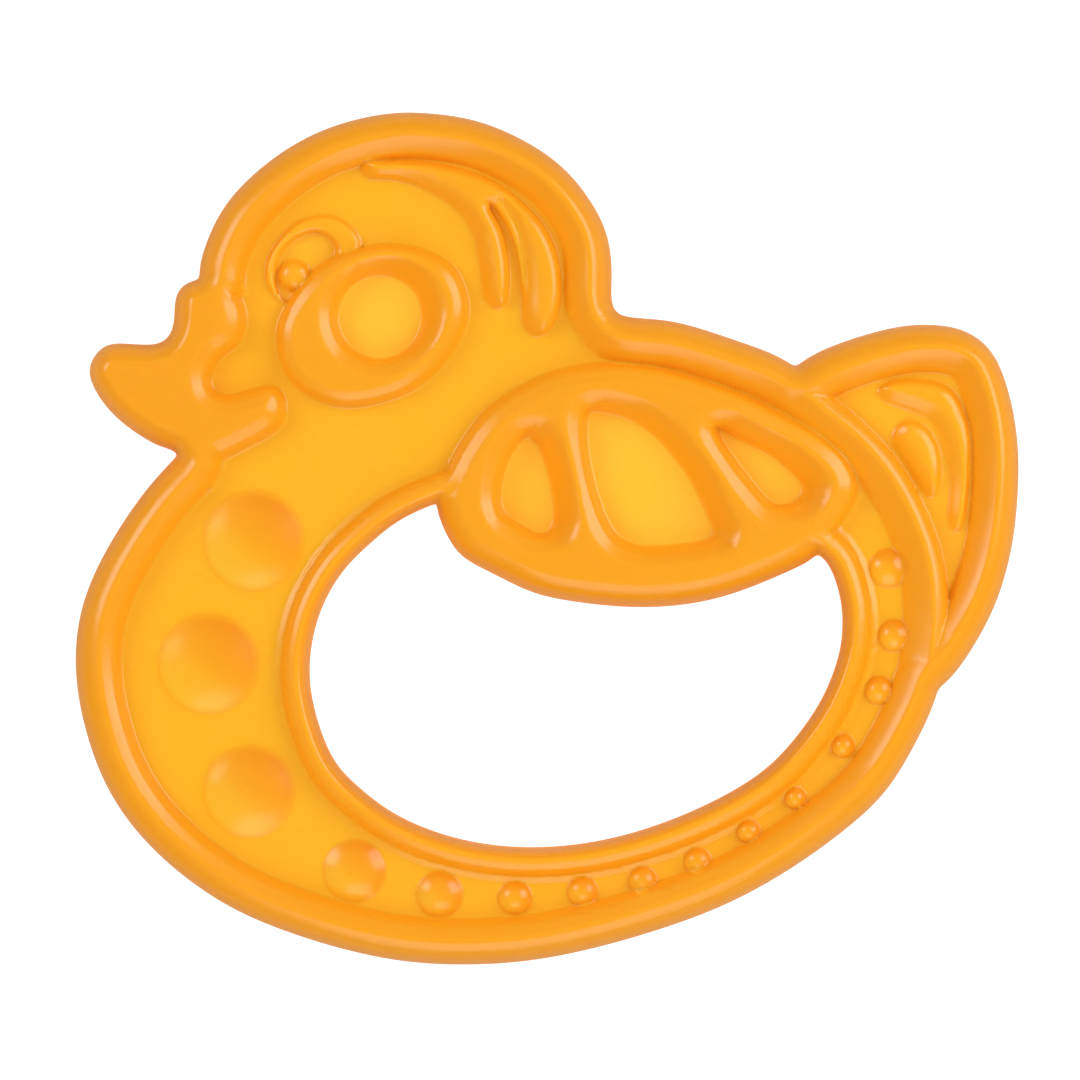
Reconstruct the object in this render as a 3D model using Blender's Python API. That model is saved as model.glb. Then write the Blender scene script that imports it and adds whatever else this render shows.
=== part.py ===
"""A duck-shaped teething ring, lying flat with its face up and its beak towards -X.

The ring is one soft moulding. It is modelled as the two halves that meet at its parting line,
mirror images of each other, with the small gap between them that touching solids keep.
Sizes and places are in millimetres, measured from the middle of the duck at its parting line,
and become metres when a mesh is made.

Every outline and path runs with the plastic on its right, so its left side is open air.
"""

import itertools
import math

import bmesh
import bpy
import numpy as np

MM = 0.001

# Heights above the parting line.
RIM_HEIGHT = 4.75
WING_HEIGHT = 4.6
BEAK_HEIGHT = 4.5
CHEEK_HEIGHT = 4.3
GRIP_RIM_HEIGHT = 4.2
HAIR_HEIGHT = 3.3
PLUME_HEIGHT = 3.1
LID_HEIGHT = 2.8
PUPIL_HEIGHT = 3.4
WEB_HEIGHT = 2.0
TAIL_WEB_HEIGHT = 1.9
EYE_FLOOR = 1.7
WINDOW_FLOOR = 1.2
CHEEK_FLOOR = 1.1

PARTING_GAP = 0.3
RIM_HALF_WIDTH = 2.4
GRIP_RIM_HALF_WIDTH = 1.3
WEB_INSET = 1.2

# How far in from its outline a raised form has rounded over to its top.
WING_ROUNDING = 1.5
BEAK_ROUNDING = 1.2
CHEEK_ROUNDING = 1.2
PUPIL_ROUNDING = 0.6
LOW_ROUNDING = 0.4

# How far out from its floor a pocket's wall has risen to its brim.
WINDOW_SLOPE = 1.7
CHEEK_SLOPE = 1.8
EYE_SLOPE = 0.2

# A bump whose foot is wider than BIG_DOME_RADIUS is one of the big domes of the chest.
BIG_DOME_HEIGHT = 1.3
SMALL_DOME_HEIGHT = 1.1
BIG_DOME_RADIUS = 4.0
DOME_RINGS = (1.0, 0.7, 0.35)

# How finely a curve is stepped, and how many points of a closed one are repeated past each end.
LONGEST_STEP = 5.5
SHARPEST_TURN = math.radians(22.0)
BUMP_TURN = math.radians(36.0)
FEWEST_STEPS = 6
DENSE_STEP = 0.1
CLOSED_LEAD = 4

# A rounding is this much higher than it is wide, and one wider than WIDE_ROUNDING gets more facets.
ROUNDING_STRETCH = 1.9
WIDE_ROUNDING = 1.0
WIDE_FACETS = 3
NARROW_FACETS = 2

# How deep each form reaches below the parting line, no two alike, and how deep and high the cutters go.
FOOT_DEPTH = 1.0
FOOT_STAGGER = 0.02
CUTTER_REACH = 10.0

SMOOTH_UP_TO = math.radians(40.0)

COLOUR = (0.93, 0.39, 0.035, 1.0)

# The head and body, from the forehead over the head, the back, the seat and the belly to the chest.
BODY_OUTLINE = [
    (-38.5, 26.9), (-38.8, 29.8), (-37.7, 33.8), (-35.5, 37.7), (-31.6, 41.6), (-27.6, 44.3),
    (-23.2, 46.2), (-17.6, 47.4), (-13.1, 47.4), (-8.1, 46.6), (-3.1, 44.6), (1.4, 41.6),
    (4.7, 37.7), (6.6, 33.7), (7.1, 29.4), (7.1, 26.6), (7.6, 25.3), (8.9, 24.7),
    (13.0, 24.3), (17.3, 23.3), (21.5, 21.9), (26.0, 20.1), (29.3, 17.8), (31.8, 15.7),
    (36.0, 12.1), (39.9, 7.3), (42.5, 2.3), (44.0, -2.4), (44.6, -8.0), (44.3, -13.0),
    (43.2, -18.0), (40.5, -23.8), (37.5, -28.4), (33.5, -32.2), (28.2, -36.1), (22.3, -39.6),
    (14.8, -42.8), (1.4, -46.5), (-8.6, -47.5), (-18.7, -46.7), (-31.0, -43.1), (-38.0, -39.5),
    (-44.4, -34.2), (-48.9, -28.1), (-51.4, -21.7), (-52.6, -14.7), (-51.8, -7.4), (-48.6, -0.3),
    (-44.4, 5.8), (-41.4, 9.1), (-39.7, 10.9),
]

# The tail, from inside the back round its tip to inside the seat.
TAIL_OUTLINE = [
    (25.7, 17.5), (28.1, 19.4), (30.4, 20.8), (34.9, 22.5), (39.4, 23.6), (42.7, 23.8),
    (46.3, 23.2), (49.2, 21.2), (50.9, 18.0), (52.0, 13.8), (52.5, 9.3), (52.4, 4.3),
    (51.7, -1.3), (50.1, -6.9), (48.1, -11.0), (45.5, -14.9), (43.4, -16.9), (41.4, -18.3),
]

# The hand hole's edge, from inside the wing's left end round the hole to inside its right end.
GRIP_OUTLINE = [
    (-8.1, 5.4), (-10.3, 4.7), (-12.4, 4.0), (-16.5, 2.1), (-19.5, -0.2), (-22.1, -2.7),
    (-24.2, -5.6), (-25.8, -9.3), (-26.6, -13.8), (-26.2, -18.5), (-24.3, -24.0), (-22.4, -26.6),
    (-19.8, -28.9), (-16.5, -31.1), (-9.8, -33.6), (-0.1, -34.5), (11.8, -32.2), (23.0, -26.8),
    (27.4, -22.7), (30.8, -17.7), (32.7, -12.5), (33.0, -9.7), (32.8, -6.9), (31.6, -3.2),
    (30.2, -1.6), (28.2, -0.3), (26.2, 0.3),
]

BEAK_OUTLINE = [
    (-37.3, 29.0), (-39.2, 28.8), (-40.6, 28.2), (-41.4, 27.0), (-41.6, 25.0), (-41.9, 23.2),
    (-42.7, 22.1), (-44.1, 21.6), (-47.2, 21.7), (-49.2, 21.5), (-50.5, 20.4), (-51.1, 18.7),
    (-50.5, 16.7), (-48.9, 14.4), (-46.4, 12.2), (-43.3, 10.4), (-41.7, 9.8), (-39.9, 8.5),
    (-37.1, 8.5), (-33.8, 10.0), (-30.4, 11.9), (-29.4, 13.2), (-29.2, 14.9), (-29.8, 16.4),
    (-31.0, 17.0), (-34.3, 16.1), (-36.0, 15.9), (-37.1, 16.4), (-37.6, 17.7), (-36.4, 20.2),
    (-34.8, 21.4), (-33.6, 24.2), (-34.2, 26.7), (-35.5, 28.3),
]

WING_OUTLINE = [
    (-10.7, 8.8), (-8.7, 12.1), (-6.2, 14.9), (-3.1, 16.9), (0.3, 18.5), (5.3, 19.5),
    (9.8, 19.5), (13.7, 18.8), (20.4, 16.7), (26.0, 14.1), (30.4, 11.6), (33.2, 9.1),
    (34.5, 6.3), (34.2, 4.3), (32.9, 2.1), (30.2, -1.6), (27.1, -3.5), (22.6, -5.4),
    (17.6, -6.9), (10.4, -7.6), (2.5, -6.9), (-2.0, -5.8), (-6.4, -3.7), (-9.6, -1.8),
    (-11.4, 0.9), (-12.3, 4.0), (-11.7, 6.5),
]

# The thin windows of the wing, at their floors, from left to right.
WING_WINDOWS = {
    "front_window": [
        (-2.0, 11.4), (-0.3, 8.2), (0.4, 5.2), (0.4, 1.2), (-0.8, 0.5), (-2.8, 1.4),
        (-4.9, 3.1), (-5.2, 5.4), (-4.6, 8.2), (-3.5, 10.2),
    ],
    "middle_window": [
        (4.7, 14.1), (6.4, 14.1), (8.7, 13.5), (11.4, 11.9), (13.9, 9.3), (15.9, 6.5),
        (17.4, 3.4), (18.4, 0.4), (17.0, -0.3), (12.6, -0.8), (9.4, -0.6), (7.5, 0.7),
        (6.2, 3.2), (5.1, 6.8), (4.4, 11.0), (4.4, 12.7),
    ],
    "rear_window": [
        (19.0, 12.2), (21.5, 11.0), (24.9, 9.3), (27.1, 7.5), (28.4, 5.8), (27.8, 4.3),
        (25.7, 3.7), (24.0, 4.9), (21.7, 7.7), (19.8, 10.4),
    ],
}

CHEEK_OUTLINE = [
    (-16.5, 32.8), (-13.7, 32.2), (-11.2, 30.9), (-9.6, 28.9), (-8.8, 26.1), (-9.2, 23.3),
    (-10.9, 20.3), (-14.2, 17.0), (-18.2, 15.2), (-22.6, 14.6), (-26.2, 15.7), (-28.7, 17.7),
    (-30.0, 20.8), (-30.0, 23.8), (-29.0, 26.1), (-26.2, 29.7), (-21.2, 32.3),
]
CHEEK_CENTRE = (-18.7, 24.7)
CHEEK_WELL_RADIUS = 4.7

LID_OUTLINE = [
    (-31.4, 29.4), (-31.1, 31.3), (-28.8, 34.5), (-27.1, 35.6), (-25.2, 36.0), (-23.4, 35.8),
    (-21.2, 34.0), (-20.8, 32.4), (-22.1, 30.5), (-27.1, 26.6), (-29.0, 25.9), (-31.1, 28.0),
]
EYE_OUTLINE = [
    (-30.3, 29.4), (-29.9, 31.1), (-28.7, 32.8), (-27.0, 33.8), (-25.4, 34.0), (-24.2, 33.3),
    (-23.6, 32.2), (-25.4, 28.9), (-27.6, 26.6), (-29.2, 26.4), (-30.1, 27.8),
]
PUPIL_CENTRE = (-28.2, 29.3)
PUPIL_RADIUS = 1.8

HAIR_OUTLINE = [
    (-20.7, 40.7), (-20.1, 41.4), (-18.0, 41.7), (-13.1, 41.9), (-6.4, 40.0), (-3.6, 38.1),
    (-1.2, 35.8), (0.5, 33.1), (1.4, 30.0), (1.5, 26.6), (0.6, 23.8), (-1.1, 22.5), (-2.6, 23.3),
    (-3.0, 26.1), (-3.2, 29.4), (-3.9, 32.8), (-5.4, 35.8), (-4.5, 33.3), (-4.1, 30.5),
    (-4.2, 27.8), (-4.7, 26.1), (-5.6, 25.5), (-6.5, 25.9), (-7.1, 27.0), (-8.1, 33.0),
    (-10.7, 37.0), (-14.5, 39.2), (-18.0, 39.9), (-20.1, 40.0),
]

TAIL_PLUMES = {
    "outer_plume": [
        (36.7, 16.5), (38.3, 17.5), (40.5, 17.8), (42.9, 17.5), (45.0, 16.5), (46.8, 13.0),
        (47.2, 9.3), (46.8, 4.3), (46.2, 1.4), (45.3, 0.6), (44.6, 1.6), (44.8, 6.0),
        (43.2, 12.1), (41.0, 14.0), (37.2, 15.4),
    ],
    "inner_plume": [
        (38.3, 10.8), (38.6, 12.1), (39.6, 13.1), (41.0, 13.1), (42.5, 12.0), (43.7, 9.5),
        (43.7, 6.0), (43.0, 4.6), (42.0, 4.9), (39.3, 9.1),
    ],
}

# The chewing bumps as (x, y, radius), from the chest round under the hole to the seat.
BUMPS = [
    (-32.7, -0.2, 5.6), (-37.7, -13.9, 5.6), (-33.2, -28.1, 5.1), (-21.5, -37.0, 3.5),
    (-12.0, -39.6, 2.6), (-3.6, -40.0, 1.9), (3.9, -39.3, 1.7), (10.6, -38.1, 1.6),
    (16.7, -35.9, 1.5), (22.4, -32.6, 1.3), (27.6, -28.9, 1.2), (32.9, -23.1, 1.3),
    (36.9, -16.9, 1.6), (38.6, -10.8, 1.8), (38.0, -3.3, 2.2),
]

# Cross-sections as (distance towards open air, height), from the outer wall over the crest.
RIM_SECTION = [
    (2.4, 0.0), (2.4, 1.6), (2.0, 3.3), (1.35, 4.3), (0.6, RIM_HEIGHT), (-0.4, RIM_HEIGHT),
    (-1.3, 4.2), (-2.1, 3.0), (-2.8, 1.6),
]
GRIP_RIM_SECTION = [
    (1.3, 0.0), (1.3, 1.4), (0.95, 3.2), (0.25, GRIP_RIM_HEIGHT), (-0.25, GRIP_RIM_HEIGHT),
    (-0.9, 3.5), (-1.5, 2.45), (-2.2, 2.35), (-2.35, 1.6),
]

# A pocket's wall as (share of its slope, share of its rise), up to where it runs on past the brim.
POCKET_WALL = [(0.0, 0.0), (0.35, 0.5), (1.0, 0.95)]
POCKET_MOUTH = 1.4
POCKET_OVERRUN = 0.5


def curve_through(points, closed):
    """Return points every DENSE_STEP or so along the natural cubic spline through the given ones."""
    points = np.asarray(points, dtype=float)
    lead = CLOSED_LEAD if closed else 0
    last = lead + len(points) - (0 if closed else 1)
    if closed:
        points = np.vstack([points[-lead:], points, points[:lead + 1]])
    spans = np.sqrt(np.linalg.norm(np.diff(points, axis=0), axis=1))
    knots = np.concatenate([[0.0], np.cumsum(spans)])
    slopes = np.diff(points, axis=0) / spans[:, None]
    inner = np.arange(1, len(points) - 1)
    system = np.eye(len(points))
    system[inner, inner - 1] = spans[:-1]
    system[inner, inner] = 2.0 * (spans[:-1] + spans[1:])
    system[inner, inner + 1] = spans[1:]
    target = np.zeros_like(points)
    target[inner] = 6.0 * (slopes[1:] - slopes[:-1])
    bends = np.linalg.solve(system, target)

    length = np.linalg.norm(np.diff(points, axis=0), axis=1).sum()
    times = np.linspace(knots[lead], knots[last], int(length / DENSE_STEP))
    span = np.clip(np.searchsorted(knots, times, side="right") - 1, lead, last - 1)
    width = spans[span][:, None]
    back = (knots[span + 1][:, None] - times[:, None]) / width
    ahead = 1.0 - back
    bend = (back ** 3 - back) * bends[span] + (ahead ** 3 - ahead) * bends[span + 1]
    curve = back * points[span] + ahead * points[span + 1] + bend * width ** 2 / 6.0
    return curve[:-1] if closed else curve


def step_along(points, closed, sharpest=SHARPEST_TURN):
    """Return (places, outward) of a curve, stepped so that no step is too long or turns too far."""
    curve = curve_through(points, closed)
    if closed:
        x, y = curve.T
        if np.sum(x * np.roll(y, -1) - y * np.roll(x, -1)) > 0.0:
            curve = curve[::-1]
        ahead = np.roll(curve, -1, axis=0) - np.roll(curve, 1, axis=0)
    else:
        ahead = np.gradient(curve, axis=0)
    ahead /= np.linalg.norm(ahead, axis=1)[:, None]
    outward = np.column_stack([-ahead[:, 1], ahead[:, 0]])

    steps = np.linalg.norm(np.diff(curve, axis=0), axis=1)
    turns = np.abs(ahead[:-1, 0] * ahead[1:, 1] - ahead[:-1, 1] * ahead[1:, 0])
    effort = np.concatenate([[0.0], np.cumsum(steps / LONGEST_STEP + turns / sharpest)])
    count = max(FEWEST_STEPS, int(math.ceil(effort[-1])))
    marks = np.linspace(0.0, effort[-1], count + 1)
    picked = np.searchsorted(effort, marks[:-1] if closed else marks).clip(0, len(curve) - 1)
    return curve[picked], outward[picked]


def solid(name, rings):
    """Return an object that bridges closed rings of (x, y, z), with its first and last ring capped."""
    shape = bmesh.new()
    loops = [[shape.verts.new(np.asarray(place) * MM) for place in ring] for ring in rings]
    for lower, upper in zip(loops, loops[1:]):
        for index, corner in enumerate(lower):
            after = (index + 1) % len(lower)
            shape.faces.new((corner, lower[after], upper[after], upper[index]))
    shape.faces.new(reversed(loops[0]))
    shape.faces.new(loops[-1])
    bmesh.ops.recalc_face_normals(shape, faces=shape.faces)
    mesh = bpy.data.meshes.new(name)
    shape.to_mesh(mesh)
    shape.free()
    item = bpy.data.objects.new(name, mesh)
    bpy.context.collection.objects.link(item)
    return item


def plate(name, places, outward, levels):
    """Return a plate whose wall follows (distance towards open air, height) levels round an outline."""
    rings = []
    for shift, height in levels:
        ring = places + outward * shift
        rings.append(np.column_stack([ring, np.full(len(ring), height)]))
    return solid(name, rings)


def rounded_levels(height, radius, foot, facets):
    """Return levels of a straight wall that rounds over to a flat top within the given radius."""
    rise = ROUNDING_STRETCH * radius
    levels = [(0.0, -foot)]
    for angle in np.linspace(0.0, math.pi / 2.0, facets + 1):
        levels.append((-radius * (1.0 - math.cos(angle)), height - rise * (1.0 - math.sin(angle))))
    return levels


def pocket_levels(floor, brim, slope):
    """Return levels of a pocket that opens upwards, by the given slope, past the brim."""
    wall = [(out * slope, floor + up * (brim - floor)) for out, up in POCKET_WALL]
    return wall + [(POCKET_MOUTH * slope, brim + POCKET_OVERRUN)]


def circle(centre, radius):
    """Return eight points of a circle, for a smooth curve to pass through."""
    angles = np.radians(np.arange(0.0, 360.0, 45.0))
    return np.column_stack([centre[0] + radius * np.cos(angles), centre[1] + radius * np.sin(angles)])


def raised_form(name, outline, height, radius, foot):
    """Return a raised form with a rounded edge, standing on the web."""
    places, outward = step_along(outline, closed=True)
    facets = WIDE_FACETS if radius > WIDE_ROUNDING else NARROW_FACETS
    return plate(name, places, outward, rounded_levels(height, radius, foot, facets))


def pocket(name, outline, floor, brim, slope):
    """Return the cutter of a pocket whose floor has the given outline."""
    places, outward = step_along(outline, closed=True)
    return plate(name, places, outward, pocket_levels(floor, brim, slope))


def web(name, outline, height, foot):
    """Return a flat web inside an open outline, closed straight across between its ends."""
    places, outward = step_along(outline, closed=False)
    return plate(name, places, outward, [(-WEB_INSET, -foot), (-WEB_INSET, height)])


def bead(name, outline, half_width, section, foot):
    """Return a bead of the given cross-section just inside an open outline."""
    places, outward = step_along(outline, closed=False)
    profile = [(section[0][0], -foot)] + section[1:] + [(section[-1][0], -foot)]
    rings = []
    for place, side in zip(places, outward):
        rings.append([(*(place + side * (shift - half_width)), height) for shift, height in profile])
    return solid(name, rings)


def bump(name, centre, radius, foot):
    """Return a chewing bump, a shallow cap of a sphere above the web."""
    rise = BIG_DOME_HEIGHT if radius > BIG_DOME_RADIUS else SMALL_DOME_HEIGHT
    sphere = (radius ** 2 + rise ** 2) / (2.0 * rise)
    places, outward = step_along(circle(centre, radius), closed=True, sharpest=BUMP_TURN)
    levels = [(0.0, -foot)]
    for share in DOME_RINGS:
        height = WEB_HEIGHT + rise - sphere + math.sqrt(sphere ** 2 - (share * radius) ** 2)
        levels.append((-radius * (1.0 - share), height))
    return plate(name, places, outward, levels)


def relief_steps():
    """Return (object, operation) pairs, in the order in which they shape the front half."""
    feet = itertools.count(FOOT_DEPTH, FOOT_STAGGER)
    grip_places, grip_outward = step_along(GRIP_OUTLINE, closed=False)
    grip_levels = [(-WEB_INSET, -CUTTER_REACH), (-WEB_INSET, CUTTER_REACH)]
    steps = [
        (plate("hand_hole", grip_places, grip_outward, grip_levels), "DIFFERENCE"),
        (web("tail_web", TAIL_OUTLINE, TAIL_WEB_HEIGHT, next(feet)), "UNION"),
        (raised_form("wing", WING_OUTLINE, WING_HEIGHT, WING_ROUNDING, next(feet)), "UNION"),
    ]
    well = circle(CHEEK_CENTRE, CHEEK_WELL_RADIUS)
    pupil = circle(PUPIL_CENTRE, PUPIL_RADIUS)
    for name, outline in WING_WINDOWS.items():
        steps.append((pocket(name, outline, WINDOW_FLOOR, WING_HEIGHT, WINDOW_SLOPE), "DIFFERENCE"))
    steps += [
        (bead("grip_rim", GRIP_OUTLINE, GRIP_RIM_HALF_WIDTH, GRIP_RIM_SECTION, next(feet)), "UNION"),
        (bead("body_rim", BODY_OUTLINE, RIM_HALF_WIDTH, RIM_SECTION, next(feet)), "UNION"),
        (bead("tail_rim", TAIL_OUTLINE, RIM_HALF_WIDTH, RIM_SECTION, next(feet)), "UNION"),
        (raised_form("beak", BEAK_OUTLINE, BEAK_HEIGHT, BEAK_ROUNDING, next(feet)), "UNION"),
        (raised_form("lid", LID_OUTLINE, LID_HEIGHT, LOW_ROUNDING, next(feet)), "UNION"),
        (pocket("eye", EYE_OUTLINE, EYE_FLOOR, LID_HEIGHT, EYE_SLOPE), "DIFFERENCE"),
        (raised_form("cheek", CHEEK_OUTLINE, CHEEK_HEIGHT, CHEEK_ROUNDING, next(feet)), "UNION"),
        (pocket("cheek_well", well, CHEEK_FLOOR, CHEEK_HEIGHT, CHEEK_SLOPE), "DIFFERENCE"),
        (raised_form("pupil", pupil, PUPIL_HEIGHT, PUPIL_ROUNDING, next(feet)), "UNION"),
        (raised_form("hair", HAIR_OUTLINE, HAIR_HEIGHT, LOW_ROUNDING, next(feet)), "UNION"),
    ]
    for name, outline in TAIL_PLUMES.items():
        steps.append((raised_form(name, outline, PLUME_HEIGHT, LOW_ROUNDING, next(feet)), "UNION"))
    for index, (x, y, radius) in enumerate(BUMPS):
        steps.append((bump(f"bump_{index + 1}", (x, y), radius, next(feet)), "UNION"))
    return steps


def parting_cutter():
    """Return the block that takes away everything below the front half's parting face."""
    reach = 2.0 * abs(BODY_OUTLINE[0][0])
    corners = [(-reach, -reach), (reach, -reach), (reach, reach), (-reach, reach)]
    levels = (-CUTTER_REACH, PARTING_GAP / 2.0)
    return solid("parting", [[(x, y, height) for x, y in corners] for height in levels])


def moulded_plastic(name):
    """Return the translucent orange-yellow soft plastic."""
    material = bpy.data.materials.new(name)
    material.use_nodes = True
    shader = material.node_tree.nodes["Principled BSDF"]
    shader.inputs["Base Color"].default_value = COLOUR
    shader.inputs["Roughness"].default_value = 0.3
    shader.inputs["Metallic"].default_value = 0.0
    return material


def front_mesh():
    """Return the finished mesh of the front half, standing on the parting line."""
    blank = web("front_blank", BODY_OUTLINE, WEB_HEIGHT, FOOT_DEPTH - FOOT_STAGGER)
    tools = relief_steps() + [(parting_cutter(), "DIFFERENCE")]
    for tool, operation in tools:
        modifier = blank.modifiers.new(tool.name, "BOOLEAN")
        modifier.operation = operation
        modifier.object = tool
    shaped = blank.evaluated_get(bpy.context.evaluated_depsgraph_get())
    mesh = bpy.data.meshes.new_from_object(shaped)
    for item in [blank] + [tool for tool, _ in tools]:
        bpy.data.objects.remove(item)
    return mesh


def add_half(name, mesh, side):
    """Add one half: side is 1 for the front and -1 for its mirror image behind."""
    shape = bmesh.new()
    shape.from_mesh(mesh)
    for corner in shape.verts:
        corner.co.z = side * corner.co.z + RIM_HEIGHT * MM
    if side < 0:
        bmesh.ops.reverse_faces(shape, faces=shape.faces)
    finished = bpy.data.meshes.new(name)
    shape.to_mesh(finished)
    shape.free()
    finished.shade_smooth()
    finished.set_sharp_from_angle(angle=SMOOTH_UP_TO)
    finished.materials.clear()
    finished.materials.append(moulded_plastic(name))
    half = bpy.data.objects.new(name, finished)
    bpy.context.collection.objects.link(half)


def main():
    """Build the ring."""
    for item in list(bpy.data.objects):
        bpy.data.objects.remove(item)
    mesh = front_mesh()
    add_half("front_half", mesh, 1)
    add_half("back_half", mesh, -1)


main()
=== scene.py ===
"""A duck-shaped teething ring of soft plastic, seen from straight above on a white ground.

The ring is one moulding, so its looks are one closed skin: a height above the parting plane, worked
out for the whole duck at once, and the same height below it. The front of the skin is shaped form by
form, as a mould maker would cut it: web, rims, wing, bill, hair, eye, cheek, tail and bumps.

Sizes and places are in millimetres, measured from the middle of the duck, with heights above the
parting plane, and become metres when the mesh is made. Every path runs with the plastic on its right.
"""

import logging
import math
from dataclasses import dataclass, field
from enum import Enum
from functools import cached_property
from typing import ClassVar

import bpy
import numpy as np
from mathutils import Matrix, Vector
from mathutils.geometry import delaunay_2d_cdt


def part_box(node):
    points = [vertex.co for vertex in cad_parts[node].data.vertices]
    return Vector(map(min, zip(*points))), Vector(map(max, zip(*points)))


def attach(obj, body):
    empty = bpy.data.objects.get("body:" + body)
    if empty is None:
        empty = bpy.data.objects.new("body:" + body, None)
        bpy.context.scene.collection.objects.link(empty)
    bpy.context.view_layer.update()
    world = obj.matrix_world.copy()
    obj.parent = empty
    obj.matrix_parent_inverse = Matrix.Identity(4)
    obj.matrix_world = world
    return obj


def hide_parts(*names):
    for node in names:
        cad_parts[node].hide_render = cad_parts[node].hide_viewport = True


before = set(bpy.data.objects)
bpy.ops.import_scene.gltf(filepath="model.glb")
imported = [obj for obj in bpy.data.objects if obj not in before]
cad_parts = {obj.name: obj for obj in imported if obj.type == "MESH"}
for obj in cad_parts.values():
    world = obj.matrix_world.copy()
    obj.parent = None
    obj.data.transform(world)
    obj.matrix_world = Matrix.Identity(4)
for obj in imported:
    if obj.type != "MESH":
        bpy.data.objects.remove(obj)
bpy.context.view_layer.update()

MM = 0.001
PARTING_PLANE = 0.5 * (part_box("front_half")[1].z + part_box("back_half")[0].z)

Outline = tuple[tuple[float, float], ...]
log = logging.getLogger("teether")


class Flow(Enum):
    """Whether a path runs back into its own start."""

    OPEN = "open"
    CLOSED = "closed"


class Side(Enum):
    """The side of the parting plane that a surface is on."""

    FRONT = "front"
    BACK = "back"


class Bank(Enum):
    """The side of a path on which a slope climbs from it, as the sign of its depths."""

    INSIDE = 1.0
    OUTSIDE = -1.0


def fillet_max(first: np.ndarray, second: np.ndarray, blend: float) -> np.ndarray:
    """The higher of two heights, with a parabola laid across where they differ by less than a blend.

    Args:
        first: Heights.
        second: Heights at the same places.
        blend: Difference in height below which the corner is filled.

    Returns:
        max(a, b) + (blend - |a - b|)^2 / (4 blend) within the blend, and max(a, b) outside it.
    """
    near = np.maximum(blend - np.abs(first - second), 0.0)
    return np.maximum(first, second) + near ** 2 / (4.0 * blend)


def fillet_min(first: np.ndarray, second: np.ndarray, blend: float) -> np.ndarray:
    """The lower of two heights, with its corner rounded over the same way as fillet_max."""
    return -fillet_max(-first, -second, blend)


def bull_nose(share: np.ndarray, power: float = 1.6, root: float = 0.4) -> np.ndarray:
    """The curve (1 - (1 - t)^power)^root: upright at 0, then a broad even slope, level from 1 on."""
    return (1.0 - (1.0 - np.clip(share, 0.0, 1.0)) ** power) ** root


def even_slope(share: np.ndarray) -> np.ndarray:
    """The curve 1 - (1 - t)^1.4, which climbs almost evenly from 0 to 1 and is level from there."""
    return 1.0 - (1.0 - np.clip(share, 0.0, 1.0)) ** 1.4


def shoulder(share: np.ndarray) -> np.ndarray:
    """The curve 1 - (1 - t / w)^1.5 of a wall as wide as w, under a bevel 1 - b (1 - t) to the top.

    Args:
        share: How far up the slope, 0 at its foot and 1 at its top.

    Returns:
        The height, 0 at a crease and 1 on the level top, and falling on below the crease.
    """
    wall, bevel = 0.55, 0.38
    steep = 1.0 - (1.0 - np.minimum(share / wall, 1.0)) ** 1.5
    return np.minimum(steep, 1.0 - bevel * np.maximum(1.0 - share, 0.0))


def spline(points: Outline, flow: Flow, step: float) -> np.ndarray:
    """Return places a step apart along the natural cubic spline through given points.

    Args:
        points: The points, as (x, y).
        flow: Whether the curve closes on itself.
        step: Distance between the places.

    Returns:
        Places as rows of (x, y). The second derivatives at the points solve the usual tridiagonal
        system, with the square root of each chord as its span, which keeps tight bends round.
    """
    closed = flow is Flow.CLOSED
    given = np.asarray(points, dtype=float)
    # A closed curve runs on by a few of its points at each end, so that its join doesn't show.
    lead = 4 if closed else 0
    last = lead + len(given) - (0 if closed else 1)
    if closed:
        given = np.vstack([given[-lead:], given, given[:lead + 1]])
    spans = np.sqrt(np.linalg.norm(np.diff(given, axis=0), axis=1))
    knots = np.concatenate([[0.0], np.cumsum(spans)])
    slopes = np.diff(given, axis=0) / spans[:, None]
    inner = np.arange(1, len(given) - 1)
    system = np.eye(len(given))
    system[inner, inner - 1] = spans[:-1]
    system[inner, inner] = 2.0 * (spans[:-1] + spans[1:])
    system[inner, inner + 1] = spans[1:]
    target = np.zeros_like(given)
    target[inner] = 6.0 * (slopes[1:] - slopes[:-1])
    bends = np.linalg.solve(system, target)

    samples_per_step = 4.0
    length = np.linalg.norm(np.diff(given, axis=0), axis=1).sum()
    times = np.linspace(knots[lead], knots[last], int(samples_per_step * length / step))
    span = np.clip(np.searchsorted(knots, times, side="right") - 1, lead, last - 1)
    width = spans[span][:, None]
    back = (knots[span + 1][:, None] - times[:, None]) / width
    ahead = 1.0 - back
    bend = (back ** 3 - back) * bends[span] + (ahead ** 3 - ahead) * bends[span + 1]
    curve = back * given[span] + ahead * given[span + 1] + bend * width ** 2 / 6.0
    return respace(curve[:-1] if closed else curve, flow, step)


def respace(curve: np.ndarray, flow: Flow, step: float, reach: float = 0.0) -> np.ndarray:
    """Return a polyline's places again, evenly spaced.

    Args:
        curve: Places along the polyline.
        flow: Whether it closes on itself.
        step: Distance between the new places.
        reach: How far beside the curve the spacing has to hold: a bend then takes closer places,
            because length is counted as ds + reach * |turn|.

    Returns:
        The new places.
    """
    if flow is Flow.CLOSED:
        curve = np.vstack([curve, curve[:1]])
    chords = np.diff(curve, axis=0)
    lengths = np.linalg.norm(chords, axis=1)
    heading = np.unwrap(np.arctan2(chords[:, 1], chords[:, 0]))
    turns = np.abs(np.diff(heading, prepend=heading[:1]))
    travel = np.concatenate([[0.0], np.cumsum(lengths + reach * turns)])
    count = max(3, int(round(travel[-1] / step)))
    marks = np.linspace(0.0, travel[-1], count + 1)
    places = np.column_stack([np.interp(marks, travel, curve[:, axis]) for axis in (0, 1)])
    return places[:-1] if flow is Flow.CLOSED else places


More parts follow.
